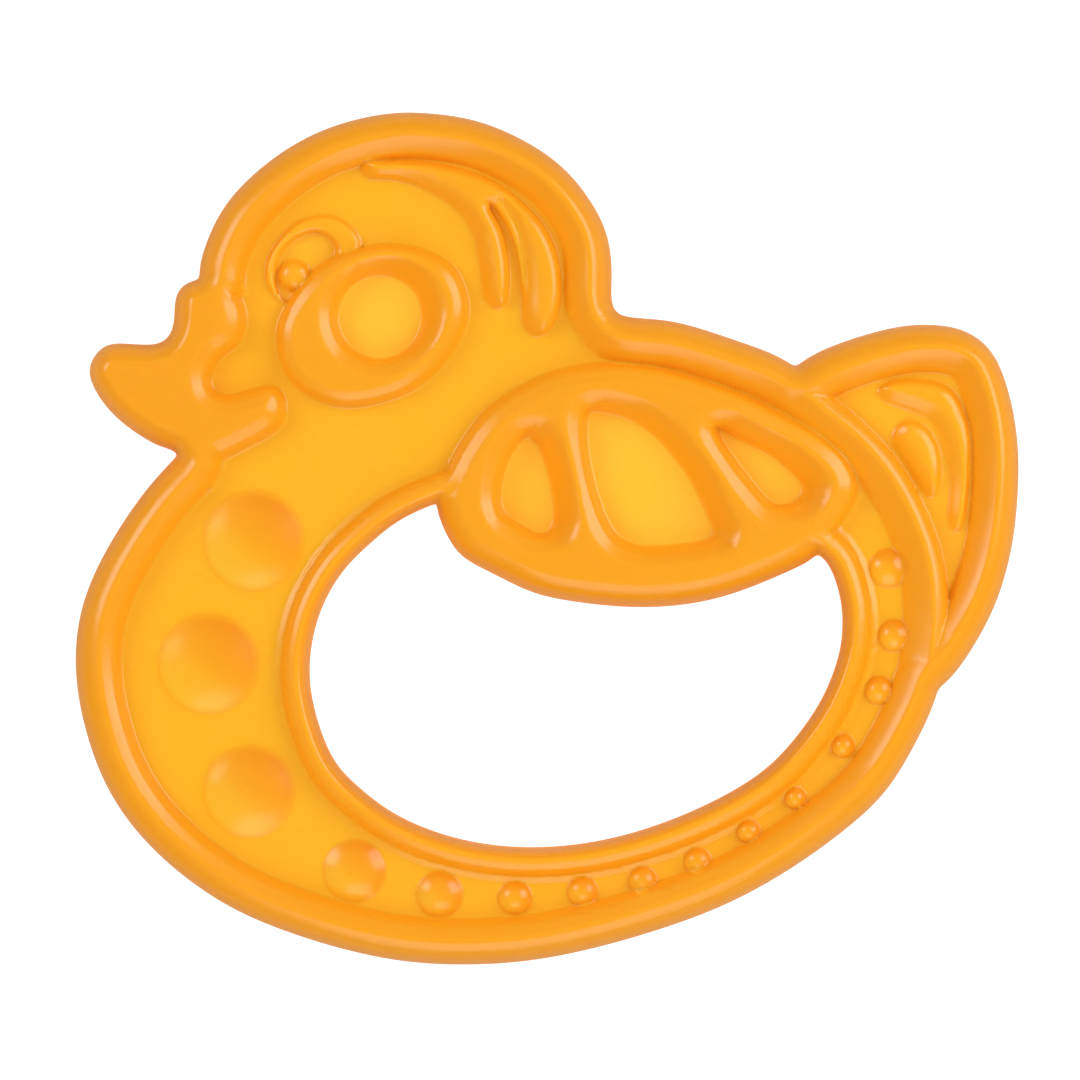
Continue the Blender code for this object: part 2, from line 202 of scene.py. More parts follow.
def plastic_side(curve: np.ndarray, flow: Flow) -> np.ndarray:
    """Return the unit vectors to the right of a curve: its direction (u, v), turned to (v, -u).

    Args:
        curve: Places along the curve.
        flow: Whether it closes on itself.

    Returns:
        One vector for each place, square to the line between the place's neighbours.
    """
    if flow is Flow.CLOSED:
        ahead = np.roll(curve, -1, axis=0) - np.roll(curve, 1, axis=0)
    else:
        ahead = np.gradient(curve, axis=0)
    ahead /= np.linalg.norm(ahead, axis=1)[:, None]
    return np.column_stack([ahead[:, 1], -ahead[:, 0]])


def depth_beside(places: np.ndarray, curve: np.ndarray, flow: Flow) -> np.ndarray:
    """Return how far each place lies beside a polyline, positive on its right.

    Args:
        places: Places as rows of (x, y).
        curve: Places along the polyline.
        flow: Whether the polyline closes on itself.

    Returns:
        The distance to the nearest chord, whose side gives the sign. A batch of places is measured
        against every chord at once.
    """
    batch = 1000
    starts = curve if flow is Flow.CLOSED else curve[:-1]
    chords = (np.roll(curve, -1, axis=0) if flow is Flow.CLOSED else curve[1:]) - starts
    squares = (chords ** 2).sum(axis=1)
    depths = np.empty(len(places))
    for first in range(0, len(places), batch):
        across = places[first:first + batch, None, 0] - starts[None, :, 0]
        up = places[first:first + batch, None, 1] - starts[None, :, 1]
        along = np.clip((across * chords[:, 0] + up * chords[:, 1]) / squares, 0.0, 1.0)
        gap = (across - along * chords[:, 0]) ** 2 + (up - along * chords[:, 1]) ** 2
        nearest = gap.argmin(axis=1)
        rows = np.arange(len(nearest))
        turn = chords[nearest, 0] * up[rows, nearest] - chords[nearest, 1] * across[rows, nearest]
        depths[first:first + batch] = -np.sign(turn) * np.sqrt(gap[rows, nearest])
    return depths


def crossings(first: np.ndarray, second: np.ndarray) -> np.ndarray:
    """Return where two polylines cross, from a + s u = b + t v for each pair of chords u and v.

    Args:
        first: Places along the first polyline.
        second: Places along the second one.

    Returns:
        Rows of (where on the first, where on the second), counted in chords, for each pair whose
        s and t are both in 0 to 1.
    """
    u, v = np.diff(first, axis=0)[:, None], np.diff(second, axis=0)[None]
    lead = second[None, :-1] - first[:-1, None]
    area = u[..., 0] * v[..., 1] - u[..., 1] * v[..., 0]
    with np.errstate(divide="ignore", invalid="ignore"):
        s = (lead[..., 0] * v[..., 1] - lead[..., 1] * v[..., 0]) / area
        t = (lead[..., 0] * u[..., 1] - lead[..., 1] * u[..., 0]) / area
    hit = (s >= 0.0) & (s < 1.0) & (t >= 0.0) & (t < 1.0)
    row, column = np.nonzero(hit)
    return np.column_stack([row + s[hit], column + t[hit]])


def stretch(curve: np.ndarray, start: float, stop: float) -> np.ndarray:
    """Return a part of a polyline.

    Args:
        curve: Places along the polyline.
        start: Where the part starts, counted in chords.
        stop: Where it stops. If that is before the start, the part runs on past the polyline's end
            from its first place, as on a closed one.

    Returns:
        The places of the part, its two ends worked out on their chords.
    """
    if stop < start:
        curve = np.vstack([curve, curve])
        stop += len(curve) // 2
    marks = np.concatenate([[start], np.arange(math.ceil(start), math.floor(stop) + 1), [stop]])
    index = np.arange(len(curve))
    return np.column_stack([np.interp(marks, index, curve[:, axis]) for axis in (0, 1)])


def soften(curve: np.ndarray, flow: Flow, spread: float) -> np.ndarray:
    """Round a polyline's corners by a running mean under the bell curve exp(-(s / spread)^2 / 2).

    Args:
        curve: Places along the polyline.
        flow: Whether it closes on itself. An open one keeps its ends.
        spread: How wide the bell is, along the polyline.

    Returns:
        Closely spaced places along the rounded polyline.
    """
    step, spreads = 0.1, 3.0
    even = respace(curve, flow, step)
    half = int(math.ceil(spreads * spread / step))
    bell = np.exp(-0.5 * (np.arange(-half, half + 1) * step / spread) ** 2)
    bell /= bell.sum()
    padded = np.pad(even, ((half, half), (0, 0)), mode="wrap" if flow is Flow.CLOSED else "edge")
    return np.column_stack([np.convolve(padded[:, axis], bell, mode="valid") for axis in (0, 1)])


def rows_beside(curve: np.ndarray, flow: Flow, offsets: np.ndarray, step: float) -> np.ndarray:
    """Return places on rows beside a curve, each at place + offset * (unit vector to the right).

    Args:
        curve: Places along the curve.
        flow: Whether it closes on itself.
        offsets: How far to the right each row lies.
        step: Distance between places in a row.

    Returns:
        The places, without those where a row has come too near to another stretch of the curve.
    """
    tolerance = 0.04
    base = respace(curve, flow, step)
    side = plastic_side(base, flow)
    places = (base[None] + offsets[:, None, None] * side[None]).reshape(-1, 2)
    wanted = np.repeat(offsets, len(base))
    return places[np.abs(depth_beside(places, curve, flow) - wanted) < tolerance]


def next_round(sizes: list[int]) -> np.ndarray:
    """Return each station's next neighbour round its loop, with stations counted loop after loop.

    Args:
        sizes: How many stations each loop has.

    Returns:
        The index i + 1 for station i, and a loop's first station for its last.
    """
    starts = np.cumsum([0, *sizes[:-1]])
    return np.concatenate([np.roll(np.arange(n), -1) + start for n, start in zip(sizes, starts)])


@dataclass(frozen=True)
class Path:
    """A smooth path through given points, with the plastic on its right.

    Its places are a step apart, and a rounding softens its tightest bends.
    """

    points: Outline
    flow: Flow = Flow.CLOSED
    step: float = 0.25
    rounding: float = 0.0

    @cached_property
    def curve(self) -> np.ndarray:
        """Work out the path's places, on the spline through its points.

        Returns:
            The places. A closed path is turned so that it encloses plastic.
        """
        curve = spline(self.points, self.flow, self.step)
        if self.rounding > 0.0:
            curve = respace(soften(curve, self.flow, self.rounding), self.flow, self.step)
        x, y = curve.T
        anticlockwise = np.sum(x * np.roll(y, -1) - y * np.roll(x, -1)) > 0.0
        return curve[::-1] if self.flow is Flow.CLOSED and anticlockwise else curve

    def depth(self, places: np.ndarray) -> np.ndarray:
        """Return how far inside the path each place is.

        Args:
            places: Places as rows of (x, y).

        Returns:
            The distance, negative outside. A place far outside only gets the margin that it is past.
        """
        margin = 8.0
        low, high = self.curve.min(axis=0) - margin, self.curve.max(axis=0) + margin
        near = np.all((places > low) & (places < high), axis=1)
        depths = np.full(len(places), -margin)
        depths[near] = depth_beside(places[near], self.curve, self.flow)
        return depths


def circle(centre: tuple[float, float], radius: float) -> Outline:
    """Eight points of a circle, for a smooth path to pass through."""
    angles = np.radians(np.arange(0.0, 360.0, 45.0))
    return tuple((centre[0] + radius * math.cos(a), centre[1] + radius * math.sin(a)) for a in angles)


@dataclass
class Site:
    """Places on the plan of the duck, with how far each is from open air."""

    places: np.ndarray
    edge_depth: np.ndarray


@dataclass
class Slope:
    """A slope that climbs from a path, wider and more even on the side that its brim has left.

    It climbs from low to high over its width. The drift is how far the brim has moved, as (x, y).
    """

    path: Path
    low: float
    high: float
    width: float
    blend: float = 0.3
    drift: tuple[float, float] = (0.0, 0.0)
    bank: ClassVar[Bank] = Bank.INSIDE

    def climb(self, places: np.ndarray) -> tuple[np.ndarray, np.ndarray]:
        """Return how high and how far up the slope each place is, 0 at its foot and 1 at its brim.

        Args:
            places: Places as rows of (x, y).

        Returns:
            The height is shoulder(share), the share being depth / width, or if that is lower the
            even slope up to the drifted path.
        """
        share = self.bank.value * self.path.depth(places) / self.width
        height = shoulder(share)
        reach = math.hypot(*self.drift)
        if reach == 0.0:
            return height, share
        moved = (self.bank.value * self.path.depth(places - self.drift) + reach) / (self.width + reach)
        up = share > 0.0
        return (np.where(up, np.minimum(height, even_slope(moved)), height),
                np.where(up, np.minimum(share, moved), share))

    def rows(self) -> np.ndarray:
        """Place mesh rows close together at the foot of the slope and wider apart up to its brim.

        Returns:
            The places: two rows before the foot, then even rows from it to a little past the brim.
        """
        step, past_brim, rows_per_mm = 0.45, 1.15, 2.5
        climb = np.linspace(0.0, past_brim * self.width, 3 + int(rows_per_mm * self.width))
        offsets = self.bank.value * np.array([-0.5, -0.25, *climb])
        return rows_beside(self.path.curve, self.path.flow, offsets, step)


@dataclass
class RaisedForm(Slope):
    """A form that stands on what is below it, with a slope in from its outline and a full top.

    Its edge_round is the radius to which open air rounds it.
    """

    edge_round: float = 2.7

    def shape(self, site: Site, ground: np.ndarray) -> np.ndarray:
        """Raise the ground to low + (high - low) * climb, rounded at open air.

        Args:
            site: The places.
            ground: Their heights so far.

        Returns:
            Their new heights.
        """
        rise, _ = self.climb(site.places)
        form = self.low + (self.high - self.low) * rise
        form = np.minimum(form, self.high * bull_nose(site.edge_depth / self.edge_round))
        return fillet_max(ground, form, self.blend)


@dataclass
class Pocket(Slope):
    """A pocket sunk into what is there, with a flat floor and a slope out from it to its brim."""

    bank: ClassVar[Bank] = Bank.OUTSIDE

    def shape(self, site: Site, ground: np.ndarray) -> np.ndarray:
        """Lower the ground to the floor at low, or beside it to low + (high - low) * climb.

        Args:
            site: The places.
            ground: Their heights so far.

        Returns:
            Their new heights. Past its brim the wall rises on, by the lift for each width, so that
            it cuts nothing more.
        """
        lift = 4.0
        rise, share = self.climb(site.places)
        wall = self.low + (self.high - self.low) * rise + lift * np.maximum(share - 1.0, 0.0)
        floor = np.full(len(ground), self.low)
        return fillet_min(ground, fillet_max(floor, wall, self.blend), self.blend)


@dataclass
class Dome:
    """A shallow cap of a sphere on the web."""

    centre: tuple[float, float]
    radius: float
    rise: float
    blend: float

    def shape(self, site: Site, ground: np.ndarray) -> np.ndarray:
        """Raise the ground to web + rise - R + sqrt(R^2 - rho^2), R being the sphere's radius.

        Args:
            site: The places.
            ground: Their heights so far.

        Returns:
            Their new heights, worked out only within a margin of the dome.
        """
        margin = 2.0
        sphere = (self.radius ** 2 + self.rise ** 2) / (2.0 * self.rise)
        rho = np.linalg.norm(site.places - self.centre, axis=1)
        near = rho < self.radius + margin
        cap = np.sqrt(np.maximum(sphere ** 2 - rho[near] ** 2, 0.0)) - sphere + self.rise
        raised = ground.copy()
        raised[near] = fillet_max(ground[near], Body.web_height + cap, self.blend)
        return raised

    def rows(self) -> np.ndarray:
        """Place mesh rows as rings round the dome, closest at its foot.

        Returns:
            The places: two rings before the foot and two past it, then five up to the top.
        """
        foot = Path(circle(self.centre, self.radius), step=0.1)
        inner = self.radius * np.array([0.15, 0.3, 0.5, 0.7, 0.87])
        offsets = np.concatenate([(-0.3, -0.12, 0.03, 0.15), inner])
        return rows_beside(foot.curve, foot.flow, offsets, max(0.25, 0.07 * self.radius))


@dataclass
class Bead:
    """A rounded rim along a curve: a bull nose up to its crest, and a shoulder down to its base.

    The bull nose starts from the foot, and its power and root are the nose. The edge_round is the
    radius to which open air rounds the rim, and the wall_rows are mesh rows on its outer wall.
    """

    curve: np.ndarray
    flow: Flow
    top: float
    crest: float
    width: float
    base: float
    blend: float = 0.3
    foot: float = 0.0
    drift: tuple[float, float] = (0.0, 0.0)
    edge_round: float = 1.25
    nose: tuple[float, float] = (1.6, 0.4)
    wall_rows: tuple[float, ...] = ()

    def shape(self, site: Site, ground: np.ndarray) -> np.ndarray:
        """Raise the ground to the lower of the bull nose and the shoulder, also rounded at open air.

        Args:
            site: The places.
            ground: Their heights so far.

        Returns:
            Their new heights. The bull nose is foot + (top - foot) * bull_nose(depth / crest), and
            the other side is base + (top - base) * shoulder, or the even slope where it is lower.
        """
        depth = depth_beside(site.places, self.curve, self.flow)
        outer = self.foot + (self.top - self.foot) * bull_nose(depth / self.crest, *self.nose)
        slope = self.width - self.crest
        rise = shoulder((self.width - depth) / slope)
        reach = math.hypot(*self.drift)
        if reach > 0.0:
            moved = depth_beside(site.places - self.drift, self.curve, self.flow)
            rise = np.minimum(rise, even_slope((self.width - moved + reach) / (slope + reach)))
        bead = np.minimum(outer, self.base + (self.top - self.base) * rise)
        bead = np.minimum(bead, self.top * bull_nose(site.edge_depth / self.edge_round))
        return np.where(depth > 0.0, fillet_max(ground, bead, self.blend), ground)

    def rows(self) -> np.ndarray:
        """Place mesh rows over the crest, closer together at the crease where the rim meets the web.

        Returns:
            The places: any rows on the outer wall, then rows over the crest, and five at the crease.
        """
        step, first, gap, short = 0.5, 1.3, 0.4, 0.5
        over = np.arange(first, self.width - short, gap)
        crease = self.width + np.array([-0.45, -0.22, 0.0, 0.24, 0.5])
        return rows_beside(self.curve, self.flow, np.concatenate([self.wall_rows, over, crease]), step)


@dataclass
class Body:
    """The head and body: the web, the rim round it all, and the ridge in front of the tail.

    The path runs round both, behind the bill and the tail too. The ridge's outer wall starts
    ridge_sink below the tail's web, and has rows of its own.
    """

    web_height: float = 2.0
    tail_web_height: float = 1.9
    rim_top: float = 4.75
    rim_crest: float = 2.9
    rim_width: float = 5.15
    drift: tuple[float, float] = (0.9, 0.6)
    ridge_crest: float = 2.1
    ridge_width: float = 5.0
    ridge_blend: float = 0.1
    ridge_sink: float = 0.4
    ridge_nose: tuple[float, float] = (1.15, 0.25)
    ridge_rows: tuple[float, ...] = (-0.5, -0.25, 0.0, 0.22, 0.45, 0.7, 1.0)
    path: Path = Path((
        (-38.5, 26.9), (-38.8, 29.8), (-37.7, 33.8), (-35.5, 37.7), (-31.6, 41.6), (-27.6, 44.3),
        (-23.2, 46.2), (-17.6, 47.4), (-13.1, 47.4), (-8.1, 46.6), (-3.1, 44.6), (1.4, 41.6),
        (4.7, 37.7), (6.6, 33.7), (7.1, 29.4), (7.1, 26.6), (7.6, 25.3), (8.9, 24.7),
        (13.0, 24.3), (17.3, 23.3), (21.5, 21.9), (26.0, 20.1), (29.3, 17.8), (31.8, 15.7),
        (36.0, 12.1), (39.9, 7.3), (42.5, 2.3), (44.0, -2.4), (44.6, -8.0), (44.3, -13.0),
        (43.2, -18.0), (40.5, -23.8), (37.5, -28.4), (33.5, -32.2), (28.2, -36.1), (22.3, -39.6),
        (14.8, -42.8), (1.4, -46.5), (-8.6, -47.5), (-18.7, -46.7), (-31.0, -43.1), (-38.0, -39.5),
        (-44.4, -34.2), (-48.9, -28.1), (-51.4, -21.7), (-52.6, -14.7), (-51.8, -7.4), (-48.6, -0.3),
        (-44.4, 5.8), (-41.4, 9.1), (-39.7, 10.9),
    ), Flow.OPEN)


@dataclass
class Tail:
    """The tail, with two plumes on its web and the body's ridge passing in front of it.

    The path runs round it, from inside the back to inside the seat.
    """

    plume_top: float = 3.2
    plume_shoulder: float = 1.3
    plume_blend: float = 0.2
    plume_drift: tuple[float, float] = (0.9, 0.6)
    path: Path = Path((
        (25.7, 17.5), (28.1, 19.4), (30.4, 20.8), (34.9, 22.5), (39.4, 23.6), (42.7, 23.8),
        (46.3, 23.2), (49.2, 21.2), (50.9, 18.0), (52.0, 13.8), (52.5, 9.3), (52.4, 4.3),
        (51.7, -1.3), (50.1, -6.9), (48.1, -11.0), (45.5, -14.9), (43.4, -16.9), (41.4, -18.3),
    ), Flow.OPEN)
    outer_plume: Path = Path((
        (36.7, 16.5), (38.3, 17.5), (40.5, 17.8), (42.9, 17.5), (45.0, 16.5), (46.8, 13.0),
        (47.2, 9.3), (46.8, 4.3), (46.2, 1.4), (45.3, 0.6), (44.6, 1.6), (44.8, 6.0),
        (43.2, 12.1), (41.0, 14.0), (37.2, 15.4),
    ))
    inner_plume: Path = Path((
        (38.3, 10.8), (38.6, 12.1), (39.6, 13.1), (41.0, 13.1), (42.5, 12.0), (43.7, 9.5),
        (43.7, 6.0), (43.0, 4.6), (42.0, 4.9), (39.3, 9.1),
    ))

    def forms(self) -> list[RaisedForm]:
        """The plumes, as forms on the tail's web."""
        return [RaisedForm(plume, Body.tail_web_height, self.plume_top, self.plume_shoulder,
                           self.plume_blend, self.plume_drift)
                for plume in (self.outer_plume, self.inner_plume)]


@dataclass
class Grip:
    """The rim round the hand hole, with a low step at its foot.

    The path is the hole's edge, from inside the wing's left end round to inside its right end.
    """

    top: float = 4.2
    crest: float = 1.25
    width: float = 3.0
    step_top: float = 2.35
    step_width: float = 4.0
    step_sink: float = 0.5
    step_blend: float = 0.12
    path: Path = Path((
        (-8.1, 5.4), (-10.3, 4.7), (-12.4, 4.0), (-16.5, 2.1), (-19.5, -0.2), (-22.1, -2.7),
        (-24.2, -5.6), (-25.8, -9.3), (-26.6, -13.8), (-26.2, -18.5), (-24.3, -24.0), (-22.4, -26.6),
        (-19.8, -28.9), (-16.5, -31.1), (-9.8, -33.6), (-0.1, -34.5), (11.8, -32.2), (23.0, -26.8),
        (27.4, -22.7), (30.8, -17.7), (32.7, -12.5), (33.0, -9.7), (32.8, -6.9), (31.6, -3.2),
        (30.2, -1.6), (28.2, -0.3), (26.2, 0.3),
    ), Flow.OPEN)

    def forms(self) -> list[Bead]:
        """The step, which starts a little below the web, and the rim that stands on it."""
        return [Bead(self.path.curve, Flow.OPEN, self.step_top, self.width, self.step_width,
                     Body.web_height - self.step_sink, self.step_blend),
                Bead(self.path.curve, Flow.OPEN, self.top, self.crest, self.width, self.step_top)]


@dataclass
class Wing:
    """The raised wing, with three thin windows between its ribs.

    The lower side of its path is the top of the hand hole.
    """

    top: float = 4.6
    shoulder: float = 2.3
    blend: float = 0.6
    window_floor: float = 1.2
    window_shoulder: float = 2.3
    window_blend: float = 0.2
    window_drift: tuple[float, float] = (1.1, 0.1)
    path: Path = Path((
        (-10.7, 8.8), (-8.7, 12.1), (-6.2, 14.9), (-3.1, 16.9), (0.3, 18.5), (5.3, 19.5),
        (9.8, 19.5), (13.7, 18.8), (20.4, 16.7), (26.0, 14.1), (30.4, 11.6), (33.2, 9.1),
        (34.5, 6.3), (34.2, 4.3), (32.9, 2.1), (30.2, -1.6), (27.1, -3.5), (22.6, -5.4),
        (17.6, -6.9), (10.4, -7.6), (2.5, -6.9), (-2.0, -5.8), (-6.4, -3.7), (-9.6, -1.8),
        (-11.4, 0.9), (-12.3, 4.0), (-11.7, 6.5),
    ))
    front_window: Path = Path((
        (-2.0, 11.4), (-0.3, 8.2), (0.4, 5.2), (0.4, 1.2), (-0.8, 0.5), (-2.8, 1.4),
        (-4.9, 3.1), (-5.2, 5.4), (-4.6, 8.2), (-3.5, 10.2),
    ))
    middle_window: Path = Path((
        (4.7, 14.1), (6.4, 14.1), (8.7, 13.5), (11.4, 11.9), (13.9, 9.3), (15.9, 6.5),
        (17.4, 3.4), (18.4, 0.4), (17.0, -0.3), (12.6, -0.8), (9.4, -0.6), (7.5, 0.7),
        (6.2, 3.2), (5.1, 6.8), (4.4, 11.0), (4.4, 12.7),
    ))
    rear_window: Path = Path((
        (19.0, 12.2), (21.5, 11.0), (24.9, 9.3), (27.1, 7.5), (28.4, 5.8), (27.8, 4.3),
        (25.7, 3.7), (24.0, 4.9), (21.7, 7.7), (19.8, 10.4),
    ))

    def forms(self) -> list[RaisedForm | Pocket]:
        """The wing's slab and its windows."""
        windows = [Pocket(window, self.window_floor, self.top, self.window_shoulder,
                          self.window_blend, self.window_drift)
                   for window in (self.front_window, self.middle_window, self.rear_window)]
        return [RaisedForm(self.path, Body.web_height, self.top, self.shoulder, self.blend), *windows]


@dataclass
class Bill:
    """The open bill, which carries the rim on from the forehead to the chest."""

    top: float = 4.7
    shoulder: float = 2.2
    blend: float = 0.9
    path: Path = Path((
        (-37.3, 29.0), (-39.2, 28.8), (-40.6, 28.2), (-41.4, 27.0), (-41.6, 25.0), (-41.9, 23.2),
        (-42.7, 22.1), (-44.1, 21.6), (-47.2, 21.7), (-49.2, 21.5), (-50.5, 20.4), (-51.1, 18.7),
        (-50.5, 16.7), (-48.9, 14.4), (-46.4, 12.2), (-43.3, 10.4), (-41.7, 9.8), (-39.9, 8.5),
        (-37.1, 8.5), (-33.8, 10.0), (-30.4, 11.9), (-29.4, 13.2), (-29.2, 14.9), (-29.8, 16.4),
        (-31.0, 17.0), (-34.3, 16.1), (-36.0, 15.9), (-37.1, 16.4), (-37.6, 17.7), (-36.4, 20.2),
        (-34.8, 21.4), (-33.6, 24.2), (-34.2, 26.7), (-35.5, 28.3),
    ))

    def forms(self) -> list[RaisedForm]:
        """The bill as one full form."""
        return [RaisedForm(self.path, Body.web_height, self.top, self.shoulder, self.blend)]


@dataclass
class Face:
    """The eye under its lid, the round cheek with its thin middle, and the hair."""

    hair_top: float = 3.8
    hair_shoulder: float = 1.0
    hair_drift: tuple[float, float] = (1.1, 0.7)
    lid_top: float = 2.8
    lid_shoulder: float = 0.7
    lid_blend: float = 0.12
    eye_floor: float = 1.7
    eye_shoulder: float = 0.6
    eye_blend: float = 0.1
    pupil_top: float = 3.1
    pupil_shoulder: float = 1.5
    pupil_radius: float = 1.85
    pupil_centre: tuple[float, float] = (-28.2, 29.3)
    cheek_top: float = 4.3
    cheek_shoulder: float = 1.8
    cheek_centre: tuple[float, float] = (-18.7, 24.7)
    well_floor: float = 1.1
    well_shoulder: float = 2.1
    well_radius: float = 4.7
    well_blend: float = 0.2
    well_drift: tuple[float, float] = (0.9, 0.6)
    cheek: Path = Path((
        (-16.5, 32.8), (-13.7, 32.2), (-11.2, 30.9), (-9.6, 28.9), (-8.8, 26.1), (-9.2, 23.3),
        (-10.9, 20.3), (-14.2, 17.0), (-18.2, 15.2), (-22.6, 14.6), (-26.2, 15.7), (-28.7, 17.7),
        (-30.0, 20.8), (-30.0, 23.8), (-29.0, 26.1), (-26.2, 29.7), (-21.2, 32.3),
    ))
    lid: Path = Path((
        (-31.4, 29.4), (-31.1, 31.3), (-28.8, 34.5), (-27.1, 35.6), (-25.2, 36.0), (-23.4, 35.8),
        (-21.2, 34.0), (-20.8, 32.4), (-22.1, 30.5), (-27.1, 26.6), (-29.0, 25.9), (-31.1, 28.0),
    ), step=0.15)
    eye: Path = Path((
        (-30.3, 29.4), (-29.9, 31.1), (-28.7, 32.8), (-27.0, 33.8), (-25.4, 34.0), (-24.2, 33.3),
        (-23.6, 32.2), (-25.4, 28.9), (-27.6, 26.6), (-29.2, 26.4), (-30.1, 27.8),
    ), step=0.1)
    hair: Path = Path((
        (-20.9, 41.1), (-20.3, 41.9), (-18.0, 42.1), (-13.1, 41.9), (-6.4, 40.0), (-3.6, 38.1),
        (-1.2, 35.8), (0.5, 33.1), (1.4, 30.0), (1.5, 26.6), (0.6, 23.8), (-1.1, 22.5), (-2.6, 23.3),
        (-2.9, 26.1), (-3.0, 29.2), (-3.5, 32.2), (-4.5, 34.8), (-5.9, 36.8), (-6.4, 37.1), (-6.3, 36.6),
        (-5.2, 34.5), (-4.6, 32.4), (-4.3, 30.3), (-4.3, 27.8), (-4.7, 26.1), (-5.6, 25.5), (-6.5, 25.9),
        (-7.1, 27.0), (-8.1, 33.0), (-10.7, 37.0), (-14.5, 39.2), (-18.0, 40.0), (-20.2, 40.1),
    ), step=0.15, rounding=0.15)

    def forms(self) -> list[RaisedForm | Pocket]:
        """Shape the hair, the lid, the eye's hollow and pupil in it, and the cheek over them.

        Returns:
            The forms, in that order.
        """
        web = Body.web_height
        pupil = Path(circle(self.pupil_centre, self.pupil_radius), step=self.eye.step)
        well = Path(circle(self.cheek_centre, self.well_radius))
        return [
            RaisedForm(self.hair, web, self.hair_top, self.hair_shoulder, drift=self.hair_drift),
            RaisedForm(self.lid, web, self.lid_top, self.lid_shoulder, self.lid_blend),
            Pocket(self.eye, self.eye_floor, self.lid_top, self.eye_shoulder, self.eye_blend),
            RaisedForm(pupil, self.eye_floor, self.pupil_top, self.pupil_shoulder, self.eye_blend),
            RaisedForm(self.cheek, web, self.cheek_top, self.cheek_shoulder),
            Pocket(well, self.well_floor, self.cheek_top, self.well_shoulder, self.well_blend,
                   self.well_drift),
        ]


@dataclass
class Bumps:
    """The chewing bumps on the web, as (x, y, radius), from the chest round the hole to the seat."""

    big_radius: float = 4.0
    big_rise: float = 1.3
    big_blend: float = 0.6
    small_rise: float = 1.1
    small_blend: float = 0.15
    places: tuple[tuple[float, float, float], ...] = (
        (-32.7, -0.2, 5.6), (-37.7, -13.9, 5.6), (-33.2, -28.1, 5.1), (-21.5, -37.0, 3.5),
        (-12.0, -39.6, 2.6), (-3.6, -40.0, 1.9), (3.9, -39.3, 1.7), (10.6, -38.1, 1.6),
        (16.7, -35.9, 1.5), (22.4, -32.6, 1.3), (27.6, -28.9, 1.2), (32.9, -23.1, 1.3),
        (36.9, -16.9, 1.6), (38.6, -10.8, 1.8), (38.0, -3.3, 2.2),
    )

    def forms(self) -> list[Dome]:
        """One dome for each bump."""
        big, small = (self.big_rise, self.big_blend), (self.small_rise, self.small_blend)
        return [Dome((x, y), radius, *(big if radius > self.big_radius else small))
                for x, y, radius in self.places]

    def glow(self, places: np.ndarray) -> np.ndarray:
        """Return the share of painted light and painted shade on each bump, which stands in for the light
        that it gathers as a lens does, at the places on it.

        Args:
            places: Places as rows of (x, y).

        Returns:
            The share of the bump's radius by which a place lies low and left of its middle: 1 at
            that end of the bump and -1 at the other, fading out at its very foot, and 0 beside it.
        """
        fade_rate = 8.0
        low_left = np.array([-math.sqrt(0.5), -math.sqrt(0.5)])
        painted_lens_light = np.zeros(len(places))
        for x, y, radius in self.places:
            offset = (places - (x, y)) / radius
            rho = np.linalg.norm(offset, axis=1)
            inside = np.where(rho < 1.0, offset @ low_left, 0.0)
            painted_lens_light += inside * np.clip(fade_rate * (1.0 - rho), 0.0, 1.0)
        return painted_lens_light


